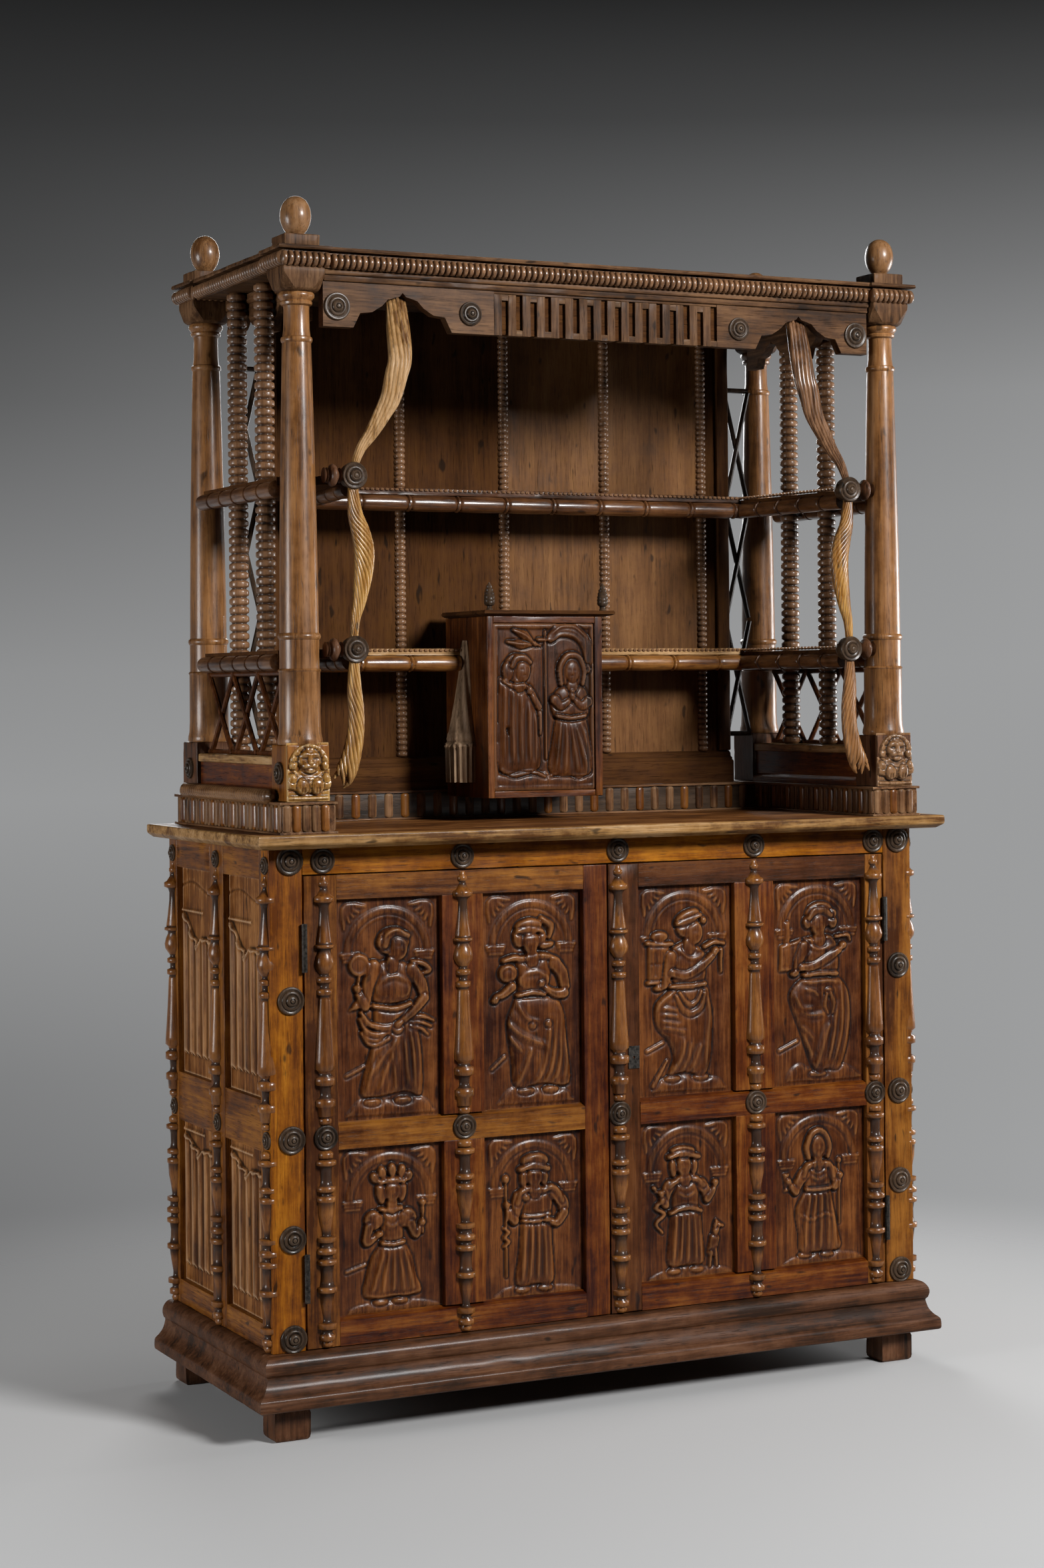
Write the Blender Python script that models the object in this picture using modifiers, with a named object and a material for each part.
# Buffet hutch: a two-door cabinet that carries an open hutch with a small hanging box.
# Metres, +Z up, +X to the right of someone facing the doors, +Y to the back.
import math

import bmesh
import bpy
from mathutils import Matrix, Vector

for old in list(bpy.data.objects):
    bpy.data.objects.remove(old, do_unlink=True)

# Fits
GAP = 0.0003              # air between pieces that touch
DOOR_CLEARANCE = 0.002    # above and below each door
HINGE_GAP = 0.003         # between a door and its stile
MEETING_GAP = 0.003       # between the two doors
PIN_CLEARANCE = 0.0005    # round a hinge pin
POST_CLEARANCE = 0.0008   # round a post where it passes a shelf
WELD = 0.000002           # points this near are one point

# Counter and body
COUNTER_WIDTH = 1.500
COUNTER_DEPTH = 0.634
COUNTER_TOP = 1.125
COUNTER_THICKNESS = 0.026
COUNTER_OVERHANG = 0.044
COUNTER_FRONT_OVERHANG = 0.065
COUNTER_BACK_OVERHANG = 0.010
FOOT_HEIGHT = 0.066
FOOT_WIDTH = 0.072
FOOT_DEPTH = 0.060
FOOT_INSET = 0.004
BASE_HEIGHT = 0.099
BASE_FLARE = 0.040
BASE_RIM = 0.055
BOTTOM_BOARD = 0.018
STILE_WIDTH = 0.066
STILE_DEPTH = 0.040
FRIEZE_RAIL = 0.051
RAIL_DEPTH = 0.026
BACK_BOARD = 0.014
INNER_SHELF = 0.018
INNER_SHELF_SETBACK = 0.062

# Side frames
SIDE_THICKNESS = 0.026
SIDE_FRONT_STILE = 0.012
SIDE_REAR_STILE = 0.045
SIDE_MUNTIN = 0.076
SIDE_BOTTOM_RAIL = 0.048
SIDE_MID_RAIL = 0.097
SIDE_TOP_RAIL = 0.059
PANEL_LIP = 0.008         # how far a panel reaches behind its frame
FOLD_DEPTH = 0.010
FOLDS = 3
FOLD_MARGIN = 0.006

# Doors
DOOR_THICKNESS = 0.028
DOOR_FACE = 0.014         # wood in front of the panel
PANEL_THICKNESS = 0.010
TOP_RAIL = 0.046
LOCK_RAIL = 0.050
BOTTOM_RAIL = 0.0525
LOWER_PANEL = 0.3135
LEFT_HINGE_STILE = 0.066
LEFT_MUNTIN = 0.086
LEFT_MEETING_STILE = 0.052
RIGHT_HINGE_STILE = 0.042
RIGHT_MUNTIN = 0.0915
RIGHT_MEETING_STILE = 0.0675
ARCH_MARGIN = 0.017
ARCH_BAND = 0.016
ARCH_RELIEF = 0.0035
IMPOST = 0.012

# Applied turnings
BALUSTER_RADIUS = 0.0165
BALUSTER_END = 0.002
CENTRE_BALUSTER = 0.0215  # from the right door's meeting edge
ROSETTE_RADIUS = 0.0225
ROSETTE_HEIGHT = 0.012
SIDE_ROSETTE_RADIUS = 0.017
SINK = 0.004              # how deep an applied turning is let into its carrier

# Hinges and lock
HINGE_LENGTH = 0.090
HINGE_INSET = 0.133       # from a door's end to the middle of its hinge
HINGE_RADIUS = 0.0055
HINGE_PIN = 0.0025
HINGE_PROUD = 0.0065
LEAF_WIDTH = 0.026
LEAF_THICKNESS = 0.0016
LOCK_RISE = 0.083         # from the upper panels' sill to the keyhole
LOCK_FROM_EDGE = 0.0535
LOCK_PLATE = (0.024, 0.044, 0.0015)
LOCK_CASE = (0.052, 0.090, 0.015)
LOCK_TUBE = 0.0045
KEYHOLE = 0.0026

# Hutch plan
COLUMN_INSET = 0.108      # from the counter's end to a column's axis
COLUMN_FRONT_INSET = 0.063
COLUMN_REAR_INSET = 0.077
COLUMN_BLOCK = 0.083
COLUMN_BLOCK_HEIGHT = 0.105
COLUMN_FOOT_RADIUS = 0.0385
COLUMN_NECK_RADIUS = 0.0285
NECK_LENGTH = 0.132       # from the cornice down to the neck ring
SHAFT_RING_RISE = 0.200   # from the block up to the lower ring
RING_PROUD = 0.003
CAPITAL = 0.090
CAPITAL_HEIGHT = 0.044
HUTCH_HEIGHT = 1.047      # from the counter to the cornice
PLINTH_HEIGHT = 0.060
PLINTH_INSET = 0.050
PLINTH_WING = 0.114
PLINTH_FRONT_INSET = 0.017
PLINTH_REAR_INSET = 0.027
PLINTH_BAND = 0.030
PEDESTAL_HEIGHT = 0.083
PEDESTAL_WIDTH = 0.074
ROPE_RADIUS = 0.0120
BACK_FROM_COLUMN = 0.040  # from the rear columns' axis forward to the planks
BACK_END_GAP = 0.102      # from a column's axis to the planks' end
BACK_PLANK = 0.020
BACK_STILE = 0.030
BACK_STILE_PROUD = 0.012
BACK_RAIL_HEIGHT = 0.068
BACK_RAIL_PROUD = 0.022
STRIP_RADIUS = 0.0085
STRIP_MARGIN = 0.065      # from the planks' end to the outer strip
POST_OFFSET = 0.010       # from the columns' line inward
POST_FRONT = 0.194        # from the front column's axis
POST_REAR = 0.152         # from the rear column's axis
POST_RADIUS = 0.0170
POST_END = 0.0130
POST_TAPER = 0.009
STICK_RADIUS = 0.0035
STICK_LAP = 0.0020
STICK_SPREAD = 0.008      # from a cell's corner to the end of its stick
LATTICE_BAR = 0.006
LATTICE_OFFSET = 0.013    # from the columns' line outward
LATTICE_HEIGHT = 0.1586
LATTICE_CELLS = 3

# Shelves and fronds
SHELF_SPACING = 0.323
SHELF_BOARD = 0.016
SHELF_DEPTH = 0.130       # along the back
SHELF_CORNER_INSET = 0.145
SHELF_TIP_REACH = 0.0075  # past the front columns' axis
EDGE_RADIUS = 0.0155
DIAGONAL_RADIUS = 0.0150
SIDE_EDGE_RADIUS = 0.0160
SIDE_EDGE_OFFSET = 0.026
EDGE_DROP = 0.0225        # from the shelf top down to the axis of its round edge
KNOB_INSET = 0.099        # from the columns' line
KNOB_RADIUS = 0.0240
KNOB_LENGTH = 0.040
SPINDLE_RADIUS = 0.0115
FROND_THICKNESS = 0.010
FROND_WIDTH = 0.042
FROND_SWING = 0.046       # how far the middle strip bows inward
FROND_FOOT_RISE = 0.028

# Friezes, cornice, finials
FRIEZE_HEIGHT = 0.106
FRIEZE_THICKNESS = 0.022
FRIEZE_REACH = 0.020      # past the front columns' axis
FILLET = 0.010
FILLET_HEIGHT = 0.011
ARCH_INSET = 0.207        # from the columns' line to the arch's middle
ARCH_HALF = 0.101
ARCH_RISE = 0.070
FRIEZE_ROSETTE_INSETS = ((0.073, 0.026), (0.347, 0.023))
FRIEZE_ROSETTE_RISE = 0.0378
SIDE_FRIEZE_INSET = 0.040
SIDE_FRIEZE_THICKNESS = 0.020
SIDE_FRIEZE_HEIGHT = 0.088
CORNICE_HEIGHT = 0.0385
CORNICE_OVERHANG = 0.010
CORNICE_BREAK = 0.008
CORNICE_BEAD = 0.013
FINIAL_BLOCK = 0.078
FINIAL_BLOCK_HEIGHT = 0.022
EGG_HEIGHT = 0.074
EGG_RADIUS = 0.029

# Hanging box
BOX_WIDTH = 0.259
BOX_CENTRE = -0.0225
BOX_DEPTH = 0.200
BOX_FROM_BACK = 0.035
BOX_LIFT = 0.047
BOX_HEIGHT = 0.365
BOX_WALL = 0.013
BOX_CAP = 0.012
BOX_CAP_OVERHANG = 0.010
BOX_DOOR_THICKNESS = 0.015
BOX_DOOR_GAP = 0.0012
BOX_HINGE_GAP = 0.0045
BOX_PIVOT_RADIUS = 0.0030
BOX_PIVOT_LENGTH = 0.006
BOX_PIVOT_INSET = 0.007
BOX_FINIAL_HEIGHT = 0.046
BOX_FINIAL_RADIUS = 0.0100
DRAPE_WIDTH = 0.038
DRAPE_HEIGHT = 0.225
DRAPE_DEPTH = 0.060

# Places that follow from the sizes above
half_counter = COUNTER_WIDTH / 2
half_depth = COUNTER_DEPTH / 2
counter_bottom = COUNTER_TOP - COUNTER_THICKNESS
half_body = half_counter - COUNTER_OVERHANG
body_front = COUNTER_FRONT_OVERHANG - half_depth
body_back = half_depth - COUNTER_BACK_OVERHANG
base_top = FOOT_HEIGHT + BASE_HEIGHT
body_bottom = base_top + GAP
body_top = counter_bottom - GAP
rail_bottom = counter_bottom - FRIEZE_RAIL
stile_inner = half_body - STILE_WIDTH
stile_back = body_front + STILE_DEPTH
door_bottom = base_top + DOOR_CLEARANCE
door_top = rail_bottom - DOOR_CLEARANCE
door_back = body_front + DOOR_THICKNESS
lower_panel_z = (door_bottom + BOTTOM_RAIL, door_bottom + BOTTOM_RAIL + LOWER_PANEL)
upper_panel_z = (lower_panel_z[1] + LOCK_RAIL, door_top - TOP_RAIL)
mid_rosette = lower_panel_z[1] + LOCK_RAIL / 2
low_rosette = body_bottom + ROSETTE_RADIUS + BALUSTER_END
high_rosette = body_top - ROSETTE_RADIUS - BALUSTER_END
stile_rosettes = (low_rosette, (low_rosette + mid_rosette) / 2, mid_rosette, (mid_rosette + high_rosette) / 2,
                  high_rosette)
lock_height = upper_panel_z[0] + LOCK_RISE
hinge_heights = (door_bottom + HINGE_INSET, door_top - HINGE_INSET)
side_inner = half_body - SIDE_THICKNESS
plinth_bottom = COUNTER_TOP + GAP
plinth_top = plinth_bottom + PLINTH_HEIGHT
plinth_outer = half_counter - PLINTH_INSET
plinth_inner = plinth_outer - PLINTH_WING
plinth_front = PLINTH_FRONT_INSET - half_depth
plinth_rear = half_depth - PLINTH_REAR_INSET
column_x = half_counter - COLUMN_INSET
column_front = COLUMN_FRONT_INSET - half_depth
column_rear = half_depth - COLUMN_REAR_INSET
block_bottom = plinth_top + GAP
block_top = block_bottom + COLUMN_BLOCK_HEIGHT
pedestal_top = plinth_top + PEDESTAL_HEIGHT
cornice_bottom = COUNTER_TOP + HUTCH_HEIGHT
capital_top = cornice_bottom - GAP
capital_bottom = capital_top - CAPITAL_HEIGHT
neck_ring = cornice_bottom - NECK_LENGTH
shaft_ring = block_top + SHAFT_RING_RISE
cornice_top = cornice_bottom + CORNICE_HEIGHT
back_front = column_rear - BACK_FROM_COLUMN
back_top = cornice_bottom - GAP
half_back = column_x - BACK_END_GAP
strip_pitch = (half_back - STRIP_MARGIN) / 2
post_x = column_x - POST_OFFSET
post_rows = (column_front + POST_FRONT, column_rear - POST_REAR)
lattice_x = column_x + LATTICE_OFFSET
lattice_bottom = pedestal_top + GAP
side_edge_z = lattice_bottom + LATTICE_HEIGHT + GAP + SIDE_EDGE_RADIUS
shelf_tops = {"shelf_lower": side_edge_z + EDGE_DROP, "shelf_upper": side_edge_z + EDGE_DROP + SHELF_SPACING}
shelf_recess = back_front - SHELF_DEPTH
shelf_corner = column_x - SHELF_CORNER_INSET
shelf_tip = column_front - SHELF_TIP_REACH
side_edge_x = column_x + SIDE_EDGE_OFFSET
knob_x = column_x - KNOB_INSET
frieze_face = column_front - FRIEZE_REACH
frieze_bottom = cornice_bottom - FRIEZE_HEIGHT
arch_x = column_x - ARCH_INSET
side_frieze_x = column_x - SIDE_FRIEZE_INSET
box_back = back_front - BOX_FROM_BACK
box_front = box_back - BOX_DEPTH
box_bottom = COUNTER_TOP + BOX_LIFT

parts = bpy.data.collections.new("buffet_hutch")
bench = bpy.data.collections.new("bench")
bpy.context.scene.collection.children.link(parts)
bpy.context.scene.collection.children.link(bench)

TONES = {
    "golden": ((0.245, 0.105, 0.026), 0.42, 0.0),
    "brown": ((0.135, 0.052, 0.016), 0.45, 0.0),
    "red": ((0.105, 0.036, 0.013), 0.40, 0.0),
    "dark": ((0.045, 0.021, 0.011), 0.48, 0.0),
    "iron": ((0.040, 0.038, 0.036), 0.50, 0.9),
}


# Modelling helpers
def add(name, mesh):
    obj = bpy.data.objects.new(name, mesh)
    bench.objects.link(obj)
    return obj


def from_bmesh(name, bm):
    bmesh.ops.recalc_face_normals(bm, faces=bm.faces)
    mesh = bpy.data.meshes.new(name)
    bm.to_mesh(mesh)
    bm.free()
    return add(name, mesh)


def bake(obj):
    # Replaces an object by the plain welded mesh that its modifiers or curve make
    graph = bpy.context.evaluated_depsgraph_get()
    mesh = bpy.data.meshes.new_from_object(obj.evaluated_get(graph))
    name = obj.name
    bpy.data.objects.remove(obj, do_unlink=True)
    bm = bmesh.new()
    bm.from_mesh(mesh)
    bmesh.ops.remove_doubles(bm, verts=bm.verts, dist=WELD)
    bm.to_mesh(mesh)
    bm.free()
    return add(name, mesh)


def block(name, x, y, z):
    bm = bmesh.new()
    bmesh.ops.create_cube(bm, size=1.0)
    bmesh.ops.scale(bm, vec=(x[1] - x[0], y[1] - y[0], z[1] - z[0]), verts=bm.verts)
    middle = (sum(x) / 2, sum(y) / 2, sum(z) / 2)
    bmesh.ops.translate(bm, vec=middle, verts=bm.verts)
    return from_bmesh(name, bm)


def turned(name, profile, sides):
    # profile: (radius, height) pairs from the top down
    points = [(radius, 0.0, height) for radius, height in profile]
    edges = [(i, i + 1) for i in range(len(points) - 1)]
    mesh = bpy.data.meshes.new(name)
    mesh.from_pydata(points, edges, [])
    obj = add(name, mesh)
    screw = obj.modifiers.new("turn", "SCREW")
    screw.axis = "Z"
    screw.steps = sides
    screw.render_steps = sides
    screw.use_merge_vertices = True
    screw.merge_threshold = 0.0001
    return bake(obj)


def plate(name, outline, holes, thickness):
    # A flat board in the XY plane, its middle at height zero
    curve = bpy.data.curves.new(name, "CURVE")
    curve.dimensions = "2D"
    curve.fill_mode = "BOTH"
    curve.extrude = thickness / 2
    for ring in [outline] + holes:
        spline = curve.splines.new("POLY")
        spline.points.add(len(ring) - 1)
        for point, (u, v) in zip(spline.points, ring):
            point.co = (u, v, 0.0, 1.0)
        spline.use_cyclic_u = True
    return bake(add(name, curve))


def loft(name, sections):
    bm = bmesh.new()
    rings = [[bm.verts.new(point) for point in section] for section in sections]
    count = len(rings[0])
    for lower, upper in zip(rings, rings[1:]):
        for i in range(count):
            j = (i + 1) % count
            bm.faces.new((lower[i], lower[j], upper[j], upper[i]))
    bm.faces.new(rings[0])
    bm.faces.new(rings[-1])
    return from_bmesh(name, bm)


def ball(name, centre, radii):
    bm = bmesh.new()
    bmesh.ops.create_uvsphere(bm, u_segments=6, v_segments=5, radius=1.0)
    bmesh.ops.scale(bm, vec=radii, verts=bm.verts)
    bmesh.ops.translate(bm, vec=centre, verts=bm.verts)
    return from_bmesh(name, bm)


def rectangle(x, y):
    return [(x[0], y[0]), (x[1], y[0]), (x[1], y[1]), (x[0], y[1])]


def at_height(ring, z):
    return [(x, y, z) for x, y in ring]


def moved(obj, matrix):
    obj.data.transform(matrix)
    return obj


def shifted(obj, x, y, z):
    return moved(obj, Matrix.Translation((x, y, z)))


def facing_front(obj):
    # Turns what points up to point at the viewer, and what points back to point up
    return moved(obj, Matrix.Rotation(math.radians(90), 4, "X"))


def facing_side(obj, side):
    return moved(obj, Matrix.Rotation(math.radians(90) * side, 4, "Y"))


def upright_side(obj):
    # Turns a board's X to Y and its Y to Z
    return moved(obj, Matrix(((0, 0, 1, 0), (1, 0, 0, 0), (0, 1, 0, 0), (0, 0, 0, 1))))


def join(obj, others, operation="UNION"):
    for other in others:
        boolean = obj.modifiers.new("join", "BOOLEAN")
        boolean.operation = operation
        boolean.solver = "EXACT"
        boolean.object = other
    result = bake(obj)
    for other in others:
        bpy.data.objects.remove(other, do_unlink=True)
    return result


def cut(obj, others):
    return join(obj, others, "DIFFERENCE")


def node(name, obj, tone):
    colour, roughness, metallic = TONES[tone]
    material = bpy.data.materials.new(name)
    material.use_nodes = True
    shader = material.node_tree.nodes["Principled BSDF"]
    shader.inputs["Base Color"].default_value = (*colour, 1.0)
    shader.inputs["Roughness"].default_value = roughness
    shader.inputs["Metallic"].default_value = metallic
    obj.data.materials.clear()
    obj.data.materials.append(material)
    obj.name = name
    obj.data.name = name
    bench.objects.unlink(obj)
    parts.objects.link(obj)
    return obj


def rod(name, start, end, profile, sides):
    # profile: (share of the length, radius) pairs from the start
    start, end = Vector(start), Vector(end)
    length = (end - start).length
    outer = [(radius, share * length) for share, radius in reversed(profile)]
    obj = turned(name, [(0.0, length)] + outer + [(0.0, 0.0)], sides)
    turn = (end - start).to_track_quat("Z", "Y").to_matrix().to_4x4()
    return moved(obj, Matrix.Translation(start) @ turn)


def smooth(points, steps):
    # A Catmull-Rom curve through the points
    points = [Vector(point) for point in points]
    padded = [2 * points[0] - points[1]] + points + [2 * points[-1] - points[-2]]
    path = []
    for a, b, c, d in zip(padded, padded[1:], padded[2:], padded[3:]):
        for step in range(steps):
            t = step / steps
            bend = (c - a) * t + (2 * a - 5 * b + 4 * c - d) * t * t + (3 * b - a - 3 * c + d) * t ** 3
            path.append(b + bend / 2)
    return path + [points[-1]]


# Applied turnings
def rosette(radius):
    height = ROSETTE_HEIGHT
    profile = [(0.0, height), (radius * 0.40, height * 0.62), (radius, height * 0.30), (radius, -SINK), (0.0, -SINK)]
    return turned("rosette", profile, 8)


def front_rosette(x, y, z, radius):
    return shifted(facing_front(rosette(radius)), x, y, z)


def side_rosette(side, x, y, z, radius):
    return shifted(facing_side(rosette(radius), side), side * x, y, z)


BALUSTER = ((0.0, 0.60), (0.06, 0.90), (0.11, 0.50), (0.34, 1.0), (0.40, 0.55), (0.68, 0.95), (0.80, 0.60),
            (0.86, 1.0), (0.92, 0.60), (1.0, 0.80))


def baluster(x, y, bottom, top):
    height = top - bottom
    profile = [(share * BALUSTER_RADIUS, top - drop * height) for drop, share in BALUSTER]
    profile = [(0.0, top)] + profile + [(0.0, bottom)]
    return shifted(turned("baluster", profile, 6), x, y, 0.0)


def baluster_rows(x, y, rosette_z, rosette_radius, bottom, top):
    reach = rosette_radius + BALUSTER_END
    return [baluster(x, y, bottom, rosette_z - reach), baluster(x, y, rosette_z + reach, top)]


# Feet and base
def feet():
    outer = half_body - FOOT_INSET
    rows = {"front": (body_front + FOOT_INSET, body_front + FOOT_INSET + FOOT_DEPTH),
            "rear": (body_back - FOOT_DEPTH, body_back)}
    for row, y in rows.items():
        for side, name in ((-1, "left"), (1, "right")):
            x = sorted((side * outer, side * (outer - FOOT_WIDTH)))
            node(f"foot_{row}_{name}", block("foot", x, y, (0.0, FOOT_HEIGHT - GAP)), "dark")


BASE_PROFILE = ((0.90, 0.0), (1.0, 0.04), (1.0, 0.19), (0.94, 0.25), (0.74, 0.32), (0.56, 0.42), (0.46, 0.53),
                (0.43, 0.61), (0.52, 0.66), (0.58, 0.77), (0.52, 0.88), (0.32, 0.97), (0.05, 1.0))


def base():
    sections = []
    for flare, rise in BASE_PROFILE:
        out = flare * BASE_FLARE
        ring = rectangle((-half_body - out, half_body + out), (body_front - out, body_back))
        sections.append(at_height(ring, FOOT_HEIGHT + rise * BASE_HEIGHT))
    inner = half_body - BASE_RIM
    hollow = block("hollow", (-inner, inner), (body_front + BASE_RIM, body_back - BASE_RIM),
                   (0.0, base_top - BOTTOM_BOARD))
    node("base", cut(loft("base", sections), [hollow]), "brown")


# Body
side_baluster_y = body_front + BALUSTER_RADIUS + BALUSTER_END
side_top_rosette = rail_bottom + SIDE_ROSETTE_RADIUS + BALUSTER_END


def side_turnings(side, y):
    trim = baluster_rows(side * half_body, y, mid_rosette, SIDE_ROSETTE_RADIUS,
                         body_bottom + BALUSTER_END, rail_bottom - BALUSTER_END)
    for z in (mid_rosette, side_top_rosette):
        trim.append(side_rosette(side, half_body, y, z, SIDE_ROSETTE_RADIUS))
    return trim


def corner_stiles():
    for side, name in ((-1, "left"), (1, "right")):
        x = sorted((side * stile_inner, side * half_body))
        stile = block("stile", x, (body_front, stile_back), (body_bottom, body_top))
        middle = side * (half_body - STILE_WIDTH / 2)
        trim = [front_rosette(middle, body_front, z, ROSETTE_RADIUS) for z in stile_rosettes]
        trim += side_turnings(side, side_baluster_y)
        node(f"corner_stile_{name}", join(stile, trim), "golden")


# Doors, left and right: hinge side, edges and members across
left_edges = (-stile_inner + HINGE_GAP, -MEETING_GAP / 2)
right_edges = (MEETING_GAP / 2, stile_inner - HINGE_GAP)


def door_columns(edges, first, muntin, last):
    width = (edges[1] - edges[0] - first - muntin - last) / 2
    start = edges[0] + first
    second = start + width + muntin
    return [(start, start + width), (second, second + width)]


left_columns = door_columns(left_edges, LEFT_HINGE_STILE, LEFT_MUNTIN, LEFT_MEETING_STILE)
right_columns = door_columns(right_edges, RIGHT_MEETING_STILE, RIGHT_MUNTIN, RIGHT_HINGE_STILE)
left_balusters = (sum((left_edges[0], left_columns[0][0])) / 2, sum((left_columns[0][1], left_columns[1][0])) / 2)
right_balusters = (right_edges[0] + CENTRE_BALUSTER, sum((right_columns[0][1], right_columns[1][0])) / 2,
                   right_edges[1] - ROSETTE_RADIUS)
lock_x = right_edges[0] + LOCK_FROM_EDGE


def frieze_rail():
    rail = block("rail", (-stile_inner + GAP, stile_inner - GAP), (body_front, body_front + RAIL_DEPTH),
                 (rail_bottom, body_top))
    z = (rail_bottom + body_top) / 2
    trim = [front_rosette(x, body_front, z, ROSETTE_RADIUS) for x in left_balusters + right_balusters]
    node("frieze_rail", join(rail, trim), "golden")


side_front = stile_back + GAP
side_columns = ((side_front + SIDE_FRONT_STILE, (side_front + SIDE_FRONT_STILE + body_back - SIDE_REAR_STILE
                                                  - SIDE_MUNTIN) / 2),
                ((side_front + SIDE_FRONT_STILE + body_back - SIDE_REAR_STILE + SIDE_MUNTIN) / 2,
                 body_back - SIDE_REAR_STILE))
side_rows = ((body_bottom + SIDE_BOTTOM_RAIL, lower_panel_z[1]), (lower_panel_z[1] + SIDE_MID_RAIL,
                                                                 body_top - SIDE_TOP_RAIL))
side_fields = [(column, row) for row in side_rows for column in side_columns]


def side_frames():
    middle = (side_columns[0][1] + side_columns[1][0]) / 2
    rear = body_back - SIDE_REAR_STILE / 2
    for side, name in ((-1, "left"), (1, "right")):
        outline = rectangle((side_front, body_back), (body_bottom, body_top))
        holes = [rectangle(column, row) for column, row in side_fields]
        frame = upright_side(plate("side", outline, holes, SIDE_THICKNESS))
        shifted(frame, side * (half_body - SIDE_THICKNESS / 2), 0.0, 0.0)
        depth = sorted((side * (side_inner - SINK), side * (half_body - SIDE_THICKNESS / 2)))
        rebate = block("rebate", depth, (side_columns[0][0] - PANEL_LIP, side_columns[1][1] + PANEL_LIP),
                       (side_rows[0][0] - PANEL_LIP, side_rows[1][1] + PANEL_LIP))
        frame = join(frame, side_turnings(side, middle) + side_turnings(side, rear))
        node(f"side_frame_{name}", cut(frame, [rebate]), "brown")


def fold_profile(y, x, side):
    # Plan of one linenfold field: rounded folds between two flat edges
    width = (y[1] - y[0]) / FOLDS
    points = [(side * (x - SINK), y[0])]
    for fold in range(FOLDS):
        start = y[0] + fold * width
        for share, rise in ((0.04, 0.25), (0.30, 1.0), (0.50, 0.45), (0.70, 1.0), (0.96, 0.25)):
            points.append((side * (x + rise * FOLD_DEPTH), start + share * width))
    points.append((side * (x - SINK), y[1]))
    return points


def linenfold_panels():
    face = half_body - SIDE_THICKNESS / 2 - GAP
    board_inner = side_inner + GAP
    for side, name in ((-1, "left"), (1, "right")):
        reach = PANEL_LIP - GAP
        board = block("board", sorted((side * board_inner, side * face)),
                      (side_columns[0][0] - reach, side_columns[1][1] + reach),
                      (side_rows[0][0] - reach, side_rows[1][1] + reach))
        fields = []
        for column, row in side_fields:
            y = (column[0] + FOLD_MARGIN, column[1] - FOLD_MARGIN)
            profile = fold_profile(y, face, side)
            bottom, top = row[0] + FOLD_MARGIN, row[1] - FOLD_MARGIN
            fields.append(loft("folds", [at_height(profile, bottom), at_height(profile, top)]))
        node(f"linenfold_{name}", join(board, fields), "brown")


def inside():
    width = (-side_inner + GAP, side_inner - GAP)
    back = block("back", width, (body_back - BACK_BOARD, body_back), (body_bottom, body_top))
    node("cabinet_back", back, "brown")
    shelf_back = body_back - BACK_BOARD - GAP
    shelf = block("shelf", width, (body_front + INNER_SHELF_SETBACK, shelf_back), (mid_rosette - INNER_SHELF, mid_rosette))
    node("cabinet_shelf", shelf, "brown")


COUNTER_EDGE = ((0.014, 0.0), (0.004, 0.28), (0.0, 0.50), (0.002, 0.82), (0.007, 1.0))


def counter():
    sections = []
    for inset, rise in COUNTER_EDGE:
        ring = rectangle((inset - half_counter, half_counter - inset), (inset - half_depth, half_depth))
        sections.append(at_height(ring, counter_bottom + rise * COUNTER_THICKNESS))
    node("counter", loft("counter", sections), "golden")


# Doors
def arch_outline(x, z, margin):
    # Rectangle with a half-round head
    left, right = x[0] + margin, x[1] - margin
    radius = (right - left) / 2
    spring = z[1] - margin - radius
    head = [((left + right) / 2 + radius * math.cos(math.pi * i / 8),
             spring + radius * math.sin(math.pi * i / 8)) for i in range(9)]
    return [(left, z[0] + margin), (right, z[0] + margin)] + head


def door_panel(name, x, z):
    reach = PANEL_LIP - GAP
    front = body_front + DOOR_FACE + GAP
    board = block("panel", (x[0] - reach, x[1] + reach), (front, front + PANEL_THICKNESS),
                  (z[0] - reach, z[1] + reach))
    outline = rectangle((x[0] + ARCH_MARGIN / 2, x[1] - ARCH_MARGIN / 2), (z[0] + ARCH_MARGIN / 2,
                                                                          z[1] - ARCH_MARGIN / 2))
    niche = arch_outline(x, z, ARCH_MARGIN + ARCH_BAND)
    surround = facing_front(plate("surround", outline, [niche], ARCH_RELIEF + SINK))
    shifted(surround, 0.0, front + (SINK - ARCH_RELIEF) / 2, 0.0)
    half = (x[1] - x[0]) / 2 - ARCH_MARGIN - ARCH_BAND
    spring = z[1] - ARCH_MARGIN - ARCH_BAND - half
    imposts = []
    for side, edge in ((1, x[0]), (-1, x[1])):
        span = sorted((edge + side * (ARCH_MARGIN + ARCH_BAND / 2), edge + side * (ARCH_MARGIN + 2 * ARCH_BAND)))
        imposts.append(block("impost", span, (front - 2 * ARCH_RELIEF, front + SINK), (spring - IMPOST, spring)))
    return node(name, join(board, [surround] + imposts), "red")


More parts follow.
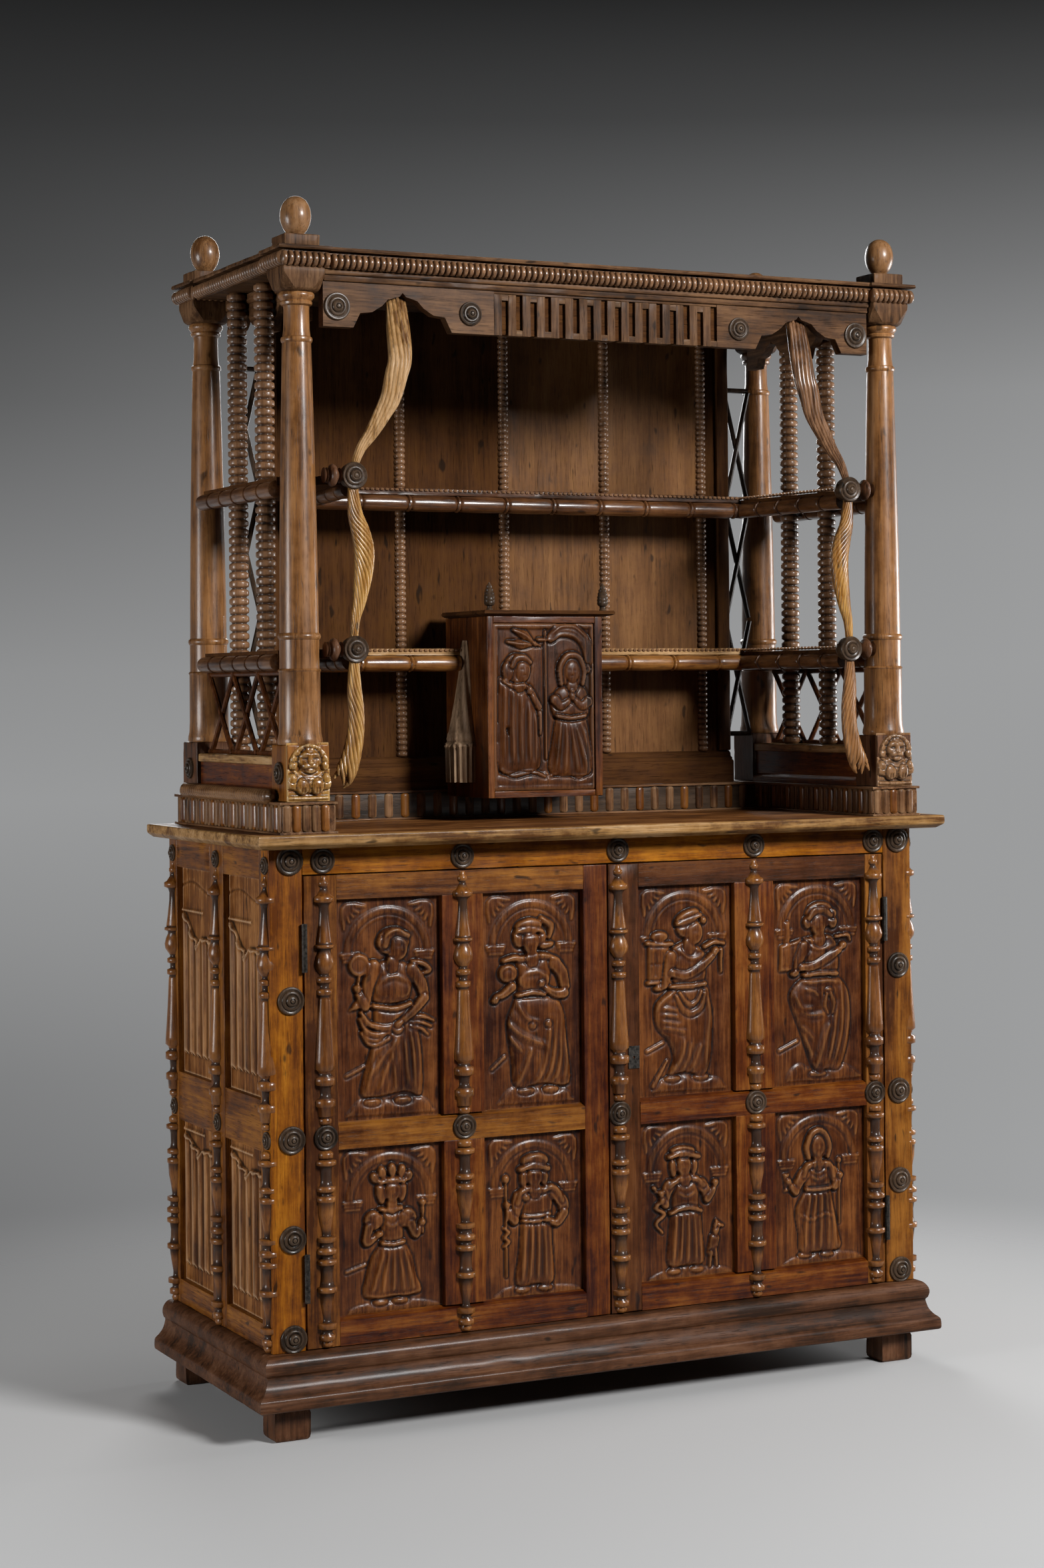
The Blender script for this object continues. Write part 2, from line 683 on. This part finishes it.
def door_frame(name, edges, columns, balusters, pins):
    frame = block("door", edges, (body_front, door_back), (door_bottom, door_top))
    cutters = []
    for x, z in [(column, row) for row in (lower_panel_z, upper_panel_z) for column in columns]:
        opening = block("opening", x, (body_front - SINK, door_back), z)
        rebate = block("rebate", (x[0] - PANEL_LIP, x[1] + PANEL_LIP),
                       (body_front + DOOR_FACE, door_back + SINK), (z[0] - PANEL_LIP, z[1] + PANEL_LIP))
        cutters.append(join(rebate, [opening]))
    frame = cut(frame, cutters + pins)
    trim = []
    for x in balusters:
        trim += baluster_rows(x, body_front, mid_rosette, ROSETTE_RADIUS,
                              door_bottom + BALUSTER_END, door_top - BALUSTER_END)
        trim.append(front_rosette(x, body_front, mid_rosette, ROSETTE_RADIUS))
    return node(name, join(frame, trim), "brown")


def lock():
    width, height, thickness = LOCK_PLATE
    face = body_front - GAP
    plate_block = block("plate", (lock_x - width / 2, lock_x + width / 2), (face - thickness, face),
                        (lock_height - height / 2, lock_height + height / 2))
    case_width, case_height, case_depth = LOCK_CASE
    inner = door_back + GAP
    case = block("case", (lock_x - case_width / 2, lock_x + case_width / 2), (inner, inner + case_depth),
                 (lock_height - case_height / 2, lock_height + case_height / 2))
    stem = rod("tube", (lock_x, face - thickness / 2, lock_height), (lock_x, inner + case_depth / 2, lock_height),
               ((0.0, LOCK_TUBE), (1.0, LOCK_TUBE)), 10)
    body = join(plate_block, [stem, case])
    hole = rod("keyhole", (lock_x, face - 3 * thickness, lock_height), (lock_x, face + SINK, lock_height),
               ((0.0, KEYHOLE), (1.0, KEYHOLE)), 10)
    slot = block("slot", (lock_x - KEYHOLE / 3, lock_x + KEYHOLE / 3), (face - 3 * thickness, face + SINK),
                 (lock_height - 1.8 * KEYHOLE, lock_height))
    return node("door_lock", cut(body, [join(hole, [slot])]), "iron")


def hinge(side, height, name):
    # The stile leaf carries the pin and the lower knuckle, the door leaf the upper knuckle
    x = side * (stile_inner - HINGE_GAP / 2)
    y = body_front - HINGE_PROUD
    bottom, top = height - HINGE_LENGTH / 2, height + HINGE_LENGTH / 2
    bore = HINGE_PIN + PIN_CLEARANCE
    profile = [(0.0, top), (HINGE_PIN, top), (HINGE_PIN, height), (HINGE_RADIUS, height),
               (HINGE_RADIUS, bottom), (0.0, bottom)]
    pin = shifted(turned("pin", profile, 8), x, y, 0.0)
    wall = side * stile_inner
    leaf = block("leaf", sorted((wall - side * GAP, wall - side * (GAP + LEAF_THICKNESS))),
                 (y, y + LEAF_WIDTH), (bottom, height - GAP))
    fixed = node(f"hinge_pin_{name}", join(pin, [leaf]), "iron")
    ring = [(HINGE_RADIUS, top - GAP), (HINGE_RADIUS, height + GAP), (bore, height + GAP), (bore, top - GAP),
            (HINGE_RADIUS, top - GAP)]
    knuckle = shifted(turned("knuckle", ring, 8), x, y, 0.0)
    edge = wall - side * HINGE_GAP
    near = y + (HINGE_RADIUS + bore) / 2
    leaf = block("leaf", sorted((edge + side * GAP, edge + side * (GAP + LEAF_THICKNESS))),
                 (near, y + LEAF_WIDTH), (height + 2 * GAP, top - 2 * GAP))
    return fixed, node(f"hinge_knuckle_{name}", join(knuckle, [leaf]), "iron")


def pivot(name, x, y, z, children):
    # Children keep their world place and turn about this vertical axis
    empty = bpy.data.objects.new(name, None)
    empty.location = (x, y, z)
    parts.objects.link(empty)
    for child in children:
        child.parent = empty
        child.location = (-x, -y, -z)


def doors():
    tube_hole = rod("hole", (lock_x, body_front - SINK, lock_height), (lock_x, door_back + SINK, lock_height),
                    ((0.0, LOCK_TUBE + PIN_CLEARANCE), (1.0, LOCK_TUBE + PIN_CLEARANCE)), 10)
    leaves = ((-1, "left", left_edges, left_columns, left_balusters, []),
              (1, "right", right_edges, right_columns, right_balusters, [tube_hole]))
    for side, name, edges, columns, balusters, pins in leaves:
        moving = [door_frame(f"{name}_door_frame", edges, columns, balusters, pins)]
        for row, z in (("upper", upper_panel_z), ("lower", lower_panel_z)):
            for place, x in zip(("outer", "inner")[::-side], columns):
                moving.append(door_panel(f"{name}_door_panel_{row}_{place}", x, z))
        for row, height in zip(("lower", "upper"), hinge_heights):
            moving.append(hinge(side, height, f"{name}_{row}")[1])
        if side > 0:
            moving.append(lock())
        pivot(f"{name}_door_axis", side * (stile_inner - HINGE_GAP / 2), body_front - HINGE_PROUD, door_bottom, moving)


# Hutch plinth
def plinth():
    band_front = back_front - PLINTH_BAND
    band_back = back_front - GAP
    corners = [(-plinth_outer, plinth_rear), (-plinth_outer, plinth_front), (-plinth_inner, plinth_front),
               (-plinth_inner, band_front), (plinth_inner, band_front), (plinth_inner, plinth_front),
               (plinth_outer, plinth_front), (plinth_outer, plinth_rear)]
    behind = half_back + GAP
    corners += [(behind, plinth_rear), (behind, band_back), (-behind, band_back), (-behind, plinth_rear)]
    body = plate("plinth", corners, [], PLINTH_HEIGHT)
    shifted(body, 0.0, 0.0, (plinth_bottom + plinth_top) / 2)
    half_block = COLUMN_BLOCK / 2 + GAP
    y = (column_front + half_block, column_rear - half_block)
    pieces = []
    for side in (-1, 1):
        sections = []
        for rise, spread in ((-SINK, 1.1), (0.012, 1.1), (0.018, 0.92), (0.060, 0.92), (0.066, 1.0),
                             (PEDESTAL_HEIGHT, 1.0)):
            half = spread * PEDESTAL_WIDTH / 2
            ring = rectangle((side * column_x - half, side * column_x + half), y)
            sections.append(at_height(ring, plinth_top + rise))
        pieces.append(loft("pedestal", sections))
        rope_x = side * (column_x + COLUMN_BLOCK / 2 + GAP + ROPE_RADIUS)
        rope_z = plinth_top + ROPE_RADIUS * 0.6
        end = ROPE_RADIUS / (plinth_rear - plinth_front)
        shape = ((0.0, ROPE_RADIUS * 0.5), (end, ROPE_RADIUS), (1 - end, ROPE_RADIUS), (1.0, ROPE_RADIUS * 0.5))
        pieces.append(rod("rope", (rope_x, plinth_front + ROPE_RADIUS, rope_z),
                          (rope_x, plinth_rear, rope_z), shape, 8))
    node("hutch_plinth", join(body, pieces), "brown")


# Columns and posts
def shaft_radius(z):
    share = (z - block_top) / (neck_ring - block_top)
    return COLUMN_FOOT_RADIUS + (COLUMN_NECK_RADIUS - COLUMN_FOOT_RADIUS) * share


def column(name, x, y, mask):
    half = COLUMN_BLOCK / 2
    body = block("block", (x - half, x + half), (y - half, y + half), (block_bottom, block_top))
    profile = [(0.0, neck_ring + SINK), (COLUMN_NECK_RADIUS, neck_ring + SINK)]
    for z in (neck_ring, shaft_ring):
        radius = shaft_radius(z)
        profile += [(radius, z + RING_PROUD), (radius + RING_PROUD, z), (radius, z - RING_PROUD)]
    foot = COLUMN_FOOT_RADIUS
    profile += [(foot, block_top + 0.016), (foot + RING_PROUD, block_top + 0.012),
                (foot + RING_PROUD, block_top - SINK), (0.0, block_top - SINK)]
    shaft = shifted(turned("shaft", profile, 10), x, y, 0.0)
    radius = COLUMN_NECK_RADIUS
    top = capital_bottom + SINK
    neck = [(0.0, top), (radius + RING_PROUD, top), (radius + RING_PROUD, capital_bottom - 0.006),
            (radius, capital_bottom - 0.012), (radius, neck_ring - SINK), (0.0, neck_ring - SINK)]
    neck = shifted(turned("neck", neck, 8), x, y, 0.0)
    pieces = [shaft, neck, capital(x, y)]
    if mask:
        face = y - half
        middle = (block_bottom + block_top) / 2
        pieces.append(ball("mane", (x, face, middle + 0.006), (half * 0.92, 0.010, half * 1.05)))
        pieces.append(ball("brow", (x, face - 0.006, middle + 0.016), (half * 0.55, 0.012, half * 0.52)))
        pieces.append(ball("jaw", (x, face - 0.005, middle - 0.018), (half * 0.75, 0.012, half * 0.42)))
    node(name, join(body, pieces), "brown")


def capital(x, y):
    # A square block whose lower edges are cut to an octagon
    half = CAPITAL / 2
    small = half * 0.78
    nick = half * 0.35
    low = [(small, nick), (nick, small), (-nick, small), (-small, nick), (-small, -nick), (-nick, -small),
           (nick, -small), (small, -nick)]
    square = rectangle((-half, half), (-half, half))
    bm = bmesh.new()
    levels = ((low, capital_bottom), (square, capital_bottom + CAPITAL_HEIGHT * 0.4), (square, capital_top))
    for ring, z in levels:
        for u, v in ring:
            bm.verts.new((x + u, y + v, z))
    bmesh.ops.convex_hull(bm, input=bm.verts)
    return from_bmesh("capital", bm)


def columns():
    for side, name in ((-1, "left"), (1, "right")):
        column(f"column_front_{name}", side * column_x, column_front, True)
        column(f"column_rear_{name}", side * column_x, column_rear, False)


def posts():
    bottom = pedestal_top + GAP
    top = cornice_bottom - GAP
    for side, name in ((-1, "left"), (1, "right")):
        for y, place in zip(post_rows, ("front", "rear")):
            profile = [(0.0, top), (POST_END, top), (POST_RADIUS, top - POST_TAPER),
                       (POST_RADIUS, bottom + POST_TAPER), (POST_END, bottom), (0.0, bottom)]
            post = shifted(turned("post", profile, 8), side * post_x, y, 0.0)
            node(f"post_{place}_{name}", post, "brown")


# Hutch back
def crossed(start, end, low, high, cells):
    # Ends of the two sticks of each X in a row of cells, and the offset that laps one over the other
    step = (end - start) / cells
    sticks = []
    for cell in range(cells):
        near = start + cell * step + STICK_SPREAD
        far = start + (cell + 1) * step - STICK_SPREAD
        sticks.append(((near, low), (far, high), STICK_LAP / 2))
        sticks.append(((near, high), (far, low), -STICK_LAP / 2))
    return sticks


def stick(start, end):
    return rod("stick", start, end, ((0.0, STICK_RADIUS), (1.0, STICK_RADIUS)), 4)


def hutch_back():
    planks = block("planks", (-half_back, half_back), (back_front, back_front + BACK_PLANK),
                   (COUNTER_TOP + GAP, back_top))
    pieces = []
    floor = plinth_top + GAP
    rail_top = floor + BACK_RAIL_HEIGHT
    steps = ((floor, 1.0), (floor + 0.045, 1.0), (floor + 0.049, 0.75), (floor + 0.056, 0.75), (rail_top, 0.3))
    back = back_front + SINK
    rail = [[(x, back_front - share * BACK_RAIL_PROUD, z) for z, share in steps]
            + [(x, back, rail_top), (x, back, floor)] for x in (-half_back, half_back)]
    pieces.append(loft("rail", rail))
    for side in (-1, 1):
        x = sorted((side * half_back, side * (half_back - BACK_STILE)))
        pieces.append(block("end", x, (back_front - BACK_STILE_PROUD, back), (rail_top - SINK, back_top)))
    for place in range(-2, 3):
        x = place * strip_pitch
        pieces.append(rod("strip", (x, back_front, rail_top - SINK), (x, back_front, back_top),
                          ((0.0, STRIP_RADIUS), (1.0, STRIP_RADIUS)), 6))
    y = back_front + BACK_PLANK / 2
    reach = column_x - COLUMN_FOOT_RADIUS - STICK_RADIUS - GAP
    for side in (-1, 1):
        inner, outer = side * (half_back - SINK), side * reach
        for (z, x), (next_z, next_x), lap in crossed(block_top, neck_ring, inner, outer, LATTICE_CELLS):
            pieces.append(stick((x, y + lap, z), (next_x, y + lap, next_z)))
    node("hutch_back", join(planks, pieces), "brown")


def side_lattices():
    lattice_top = lattice_bottom + LATTICE_HEIGHT
    half = LATTICE_BAR / 2
    reach = COLUMN_FOOT_RADIUS + RING_PROUD + GAP
    y = (column_front + reach, column_rear - reach)
    for side, name in ((-1, "left"), (1, "right")):
        x = side * lattice_x
        bars = [block("bar", (x - half, x + half), y, z) for z in
                ((lattice_bottom, lattice_bottom + LATTICE_BAR), (lattice_top - LATTICE_BAR, lattice_top))]
        ends = crossed(*y, lattice_bottom + half, lattice_top - half, LATTICE_CELLS)
        sticks = [stick((x + lap, *start), (x + lap, *end)) for start, end, lap in ends]
        node(f"side_lattice_{name}", join(bars[0], bars[1:] + sticks), "brown")


# Shelves
def round_edge(start, end, radius):
    return rod("edge", start, end, ((0.0, radius), (1.0, radius)), 8)


def shelf(name, top, notch):
    outer = side_edge_x
    half_block = COLUMN_BLOCK / 2
    slot = column_x - COLUMN_FOOT_RADIUS - RING_PROUD - GAP
    behind = column_front + half_block
    back = back_front - BACK_STILE_PROUD - GAP
    half = [(shelf_corner, shelf_recess), (knob_x, shelf_tip), (slot, shelf_tip), (slot, behind), (outer, behind),
            (outer, back)]
    outline = half + [(-x, y) for x, y in reversed(half)]
    runs = [(-shelf_corner, shelf_corner)]
    if notch:
        left, right = BOX_CENTRE - BOX_WIDTH / 2 - GAP, BOX_CENTRE + BOX_WIDTH / 2 + GAP
        outline += [(left, shelf_recess), (left, box_back + GAP), (right, box_back + GAP), (right, shelf_recess)]
        runs = [(-shelf_corner, left - 2 * GAP), (right + 2 * GAP, shelf_corner)]
    radius = POST_RADIUS + POST_CLEARANCE
    holes = []
    for side in (-1, 1):
        for y in post_rows:
            holes.append([(side * post_x + radius * math.cos(math.tau * i / 8),
                           y + radius * math.sin(math.tau * i / 8)) for i in range(8)])
    board = plate(name, outline, holes, SHELF_BOARD)
    shifted(board, 0.0, 0.0, top - SHELF_BOARD / 2)
    z = top - EDGE_DROP
    edges = [round_edge((start, shelf_recess, z), (end, shelf_recess, z), EDGE_RADIUS) for start, end in runs]
    wall = shaft_radius(z) + RING_PROUD + GAP
    tip = shelf_tip + DIAGONAL_RADIUS * (knob_x - shelf_corner) / (shelf_recess - shelf_tip)
    for side in (-1, 1):
        edges.append(round_edge((side * shelf_corner, shelf_recess, z), (side * knob_x, tip, z), DIAGONAL_RADIUS))
        edges.append(round_edge((side * outer, column_front + wall, z), (side * outer, column_rear - wall, z),
                            SIDE_EDGE_RADIUS))
    node(name, join(board, edges), "brown")


# Fronds: three carved strips that hang from the frieze past the shelf knobs to the plinth
def strip(side, points, widths):
    path = smooth([(side * x, y, z) for x, y, z in points], 2)
    count = len(path) - 1
    sections = []
    for i, place in enumerate(path):
        along = path[min(i + 1, count)] - path[max(i - 1, 0)]
        across = along.cross(Vector((0.0, 1.0, 0.0))).normalized()
        share = i / count * (len(widths) - 1)
        low = min(int(share), len(widths) - 2)
        width = widths[low] + (widths[low + 1] - widths[low]) * (share - low)
        ring = []
        for corner in range(6):
            angle = math.tau * corner / 6
            offset = across * (width / 2 * math.cos(angle))
            ring.append(place + offset + Vector((0.0, FROND_THICKNESS / 2 * math.sin(angle), 0.0)))
        sections.append(ring)
    return loft("strip", sections)


def path(start, end, points):
    # points: (sideways offset, depth, share of the drop)
    return [(x, y, start + (end - start) * share) for x, y, share in points]


def frond(side, name):
    hang = frieze_face + FRIEZE_THICKNESS + GAP + FROND_THICKNESS / 2
    y = shelf_tip - GAP - KNOB_LENGTH / 2
    high, low = shelf_tops["shelf_upper"], shelf_tops["shelf_lower"]
    top = frieze_bottom + ARCH_RISE + SINK
    out = knob_x - arch_x
    full, slim = FROND_WIDTH, SPINDLE_RADIUS
    bow = FROND_SWING
    upper = path(top, high, ((arch_x, hang, 0.0), (arch_x + 0.03 * out, hang, 0.31),
                             (arch_x + 0.30 * out, (hang + y) / 2, 0.55), (arch_x + 0.60 * out, y, 0.77),
                             (knob_x, y, 1.0)))
    middle = path(high, low, ((knob_x, y, 0.0), (knob_x - 0.65 * bow, y, 0.23), (knob_x - bow, y, 0.48),
                              (knob_x - 0.65 * bow, y, 0.77), (knob_x, y, 1.0)))
    lower = path(low, plinth_top + FROND_FOOT_RISE, ((knob_x, y, 0.0), (knob_x - 0.43 * bow, y, 0.34),
                                                     (knob_x - 0.17 * bow, y, 0.64), (knob_x + 0.70 * bow, y, 1.0)))
    pieces = [strip(side, upper, (0.7 * full, full, 0.95 * full, 0.75 * full, slim)),
              strip(side, middle, (slim, 0.75 * full, 0.95 * full, 0.75 * full, slim)),
              strip(side, lower, (slim, 0.8 * full, 0.95 * full, 0.6 * full))]
    reach = column_x - COLUMN_FOOT_RADIUS - RING_PROUD
    radius = KNOB_RADIUS
    for z in (high, low):
        profile = ((0.0, radius * 0.75), (0.40, radius), (0.72, radius), (1.0, radius * 0.40))
        pieces.append(rod("knob", (side * knob_x, shelf_tip - GAP, z), (side * knob_x, shelf_tip - KNOB_LENGTH, z),
                          profile, 8))
        shape = ((0.0, 0.7), (0.40, 0.7), (0.55, 1.0), (1.0, 1.0))
        pieces.append(rod("spindle", (side * knob_x, y, z), (side * reach, y, z),
                          [(share, SPINDLE_RADIUS * size) for share, size in shape], 6))
    node(name, join(pieces[0], pieces[1:]), "golden")


# Friezes, cornice and finials
ARCH = ((-1.0, 0.0), (-0.86, 0.40), (-0.62, 0.44), (-0.42, 0.62), (-0.30, 0.80), (-0.06, 0.90), (0.0, 1.0))


def arched_edge(centre, half, bottom, rise):
    # The cusped arch, left foot to right foot
    right = [(-u, v) for u, v in reversed(ARCH[:-1])]
    return [(centre + u * half, bottom + v * rise) for u, v in list(ARCH) + right]


def frieze_front():
    half = column_x - CAPITAL / 2 - GAP
    outline = [(-half, frieze_bottom)]
    for side in (-1, 1):
        outline += arched_edge(side * arch_x, ARCH_HALF, frieze_bottom, ARCH_RISE)
    outline += [(half, frieze_bottom), (half, back_top), (-half, back_top)]
    board = facing_front(plate("frieze", outline, [], FRIEZE_THICKNESS))
    shifted(board, 0.0, frieze_face + FRIEZE_THICKNESS / 2, 0.0)
    trim = []
    for step, proud in ((2, 0.5), (1, 1.0)):
        trim.append(block("fillet", (-half, half), (frieze_face - proud * FILLET, frieze_face + SINK),
                          (cornice_bottom - step * FILLET_HEIGHT, back_top)))
    middle = frieze_bottom + FRIEZE_ROSETTE_RISE
    for inset, radius in FRIEZE_ROSETTE_INSETS:
        trim += [front_rosette(side * (column_x - inset), frieze_face, middle, radius) for side in (-1, 1)]
    node("frieze_front", join(board, trim), "brown")


def side_friezes():
    half = CAPITAL / 2 + GAP
    y = (column_front + half, column_rear - half)
    middle = sum(y) / 2
    bottom = cornice_bottom - SIDE_FRIEZE_HEIGHT
    quarter = (y[1] - y[0]) / 4
    outline = [(y[0], bottom)]
    for centre in (middle - quarter, middle + quarter):
        outline += arched_edge(centre, quarter * 0.62, bottom, SIDE_FRIEZE_HEIGHT * 0.6)
    outline += [(y[1], bottom), (y[1], back_top), (y[0], back_top)]
    for side, name in ((-1, "left"), (1, "right")):
        board = upright_side(plate("frieze", outline, [], SIDE_FRIEZE_THICKNESS))
        node(f"frieze_{name}", shifted(board, side * side_frieze_x, 0.0, 0.0), "brown")


cornice_half = column_x + CAPITAL / 2 + CORNICE_OVERHANG
cornice_front = column_front - CAPITAL / 2 - CORNICE_OVERHANG
cornice_back = column_rear + CAPITAL / 2 + CORNICE_OVERHANG


def cornice_slab(x, y, inset):
    bead = CORNICE_BEAD
    steps = [(bead, 0.0)]
    for i in range(5):
        angle = math.pi * (i / 4 - 0.5)
        steps.append((bead - bead * math.cos(angle), bead + bead * math.sin(angle)))
    steps += [(bead * 0.8, 2 * bead + 0.003), (bead * 0.2, 2 * bead + 0.004), (bead * 0.2, CORNICE_HEIGHT)]
    sections = []
    for step, rise in steps:
        ring = rectangle((x[0] + step + inset, x[1] - step - inset), (y[0] + step + inset, y[1] - step - inset))
        sections.append(at_height(ring, cornice_bottom + rise))
    return loft("cornice", sections[1:])


def cornice():
    x = (-cornice_half, cornice_half)
    y = (cornice_front, cornice_back)
    slab = cornice_slab(x, y, CORNICE_BREAK)
    wide = CAPITAL + 2 * CORNICE_OVERHANG
    breaks = []
    for side in (-1, 1):
        for centre in (column_front, column_rear):
            breaks.append(cornice_slab((side * column_x - wide / 2, side * column_x + wide / 2),
                                       (centre - wide / 2, centre + wide / 2), 0.0))
    node("cornice", join(slab, breaks), "brown")


EGG = ((0.30, 0.985), (0.62, 0.90), (0.88, 0.72), (1.0, 0.45), (0.92, 0.22), (0.68, 0.06), (0.45, 0.0))


def finials():
    for side, name in ((-1, "left"), (1, "right")):
        for y, row in ((column_front, "front"), (column_rear, "rear")):
            half = FINIAL_BLOCK / 2
            x = side * column_x
            bottom = cornice_top + GAP
            seat = bottom + FINIAL_BLOCK_HEIGHT
            foot = block("foot", (x - half, x + half), (y - half, y + half), (bottom, seat))
            profile = [(0.0, seat + EGG_HEIGHT)]
            profile += [(radius * EGG_RADIUS, seat + rise * EGG_HEIGHT) for radius, rise in EGG]
            profile += [(0.45 * EGG_RADIUS, seat - SINK), (0.0, seat - SINK)]
            egg = shifted(turned("egg", profile, 10), x, y, 0.0)
            node(f"finial_{row}_{name}", join(foot, [egg]), "golden")


# Hanging box
def hanging_box():
    half = BOX_WIDTH / 2
    left, right = BOX_CENTRE - half, BOX_CENTRE + half
    top = box_bottom + BOX_HEIGHT
    case = block("case", (left, right), (box_front, box_back), (box_bottom, top))
    inner_x = (left + BOX_WALL, right - BOX_WALL)
    inner_z = (box_bottom + BOX_WALL, top - BOX_WALL)
    hollow = block("hollow", inner_x, (box_front - SINK, box_back - BOX_WALL), inner_z)
    pivot_x = inner_x[1] - BOX_HINGE_GAP - BOX_PIVOT_INSET
    pivot_y = box_front + BOX_DOOR_THICKNESS / 2
    bore = BOX_PIVOT_RADIUS + PIN_CLEARANCE
    sockets = rod("sockets", (pivot_x, pivot_y, inner_z[0] - BOX_PIVOT_LENGTH),
                  (pivot_x, pivot_y, inner_z[1] + BOX_PIVOT_LENGTH), ((0.0, bore), (1.0, bore)), 12)
    case = cut(case, [join(hollow, [sockets])])
    out = BOX_CAP_OVERHANG
    pieces = [block("cap", (left - out, right + out), (box_front - out, box_back), (top - GAP, top + BOX_CAP))]
    for x in (left + out, right - out):
        seat = top + BOX_CAP
        shape = ((0.0, 0.7), (0.12, 0.55), (0.2, 0.8), (0.45, 1.0), (0.75, 0.8), (1.0, 0.25))
        pieces.append(rod("acorn", (x, box_front + out, seat - SINK), (x, box_front + out, seat + BOX_FINIAL_HEIGHT),
                          [(share, size * BOX_FINIAL_RADIUS) for share, size in shape], 8))
    drape_top = shelf_tops["shelf_lower"] - EDGE_DROP - EDGE_RADIUS - GAP
    middle = (box_front + box_back) / 2
    for side, edge in ((-1, left), (1, right)):
        sections = []
        for drop, share in ((0.0, 0.30), (0.35, 0.55), (0.70, 0.85), (0.74, 1.0), (1.0, 0.90)):
            y = (middle - share * DRAPE_DEPTH / 2, middle + share * DRAPE_DEPTH / 2)
            x = sorted((edge - side * SINK, edge + side * share * DRAPE_WIDTH))
            sections.append(at_height(rectangle(x, y), drape_top - drop * DRAPE_HEIGHT))
        pieces.append(loft("drape", sections))
    node("box_case", join(case, pieces), "red")
    door_x = (inner_x[0] + BOX_DOOR_GAP, inner_x[1] - BOX_HINGE_GAP)
    door_z = (inner_z[0] + BOX_DOOR_GAP, inner_z[1] - BOX_DOOR_GAP)
    door = block("door", door_x, (box_front, box_front + BOX_DOOR_THICKNESS), door_z)
    tip = BOX_PIVOT_LENGTH - GAP
    pins = rod("pins", (pivot_x, pivot_y, inner_z[0] - tip), (pivot_x, pivot_y, inner_z[1] + tip),
               ((0.0, BOX_PIVOT_RADIUS), (1.0, BOX_PIVOT_RADIUS)), 12)
    pivot("box_door_axis", pivot_x, pivot_y, door_z[0], [node("box_door", join(door, [pins]), "red")])


feet()
base()
corner_stiles()
frieze_rail()
side_frames()
linenfold_panels()
inside()
counter()
doors()
plinth()
columns()
posts()
hutch_back()
side_lattices()
for shelf_name, shelf_top in shelf_tops.items():
    shelf(shelf_name, shelf_top, shelf_name == "shelf_lower")
frond(-1, "frond_left")
frond(1, "frond_right")
frieze_front()
side_friezes()
cornice()
finials()
hanging_box()
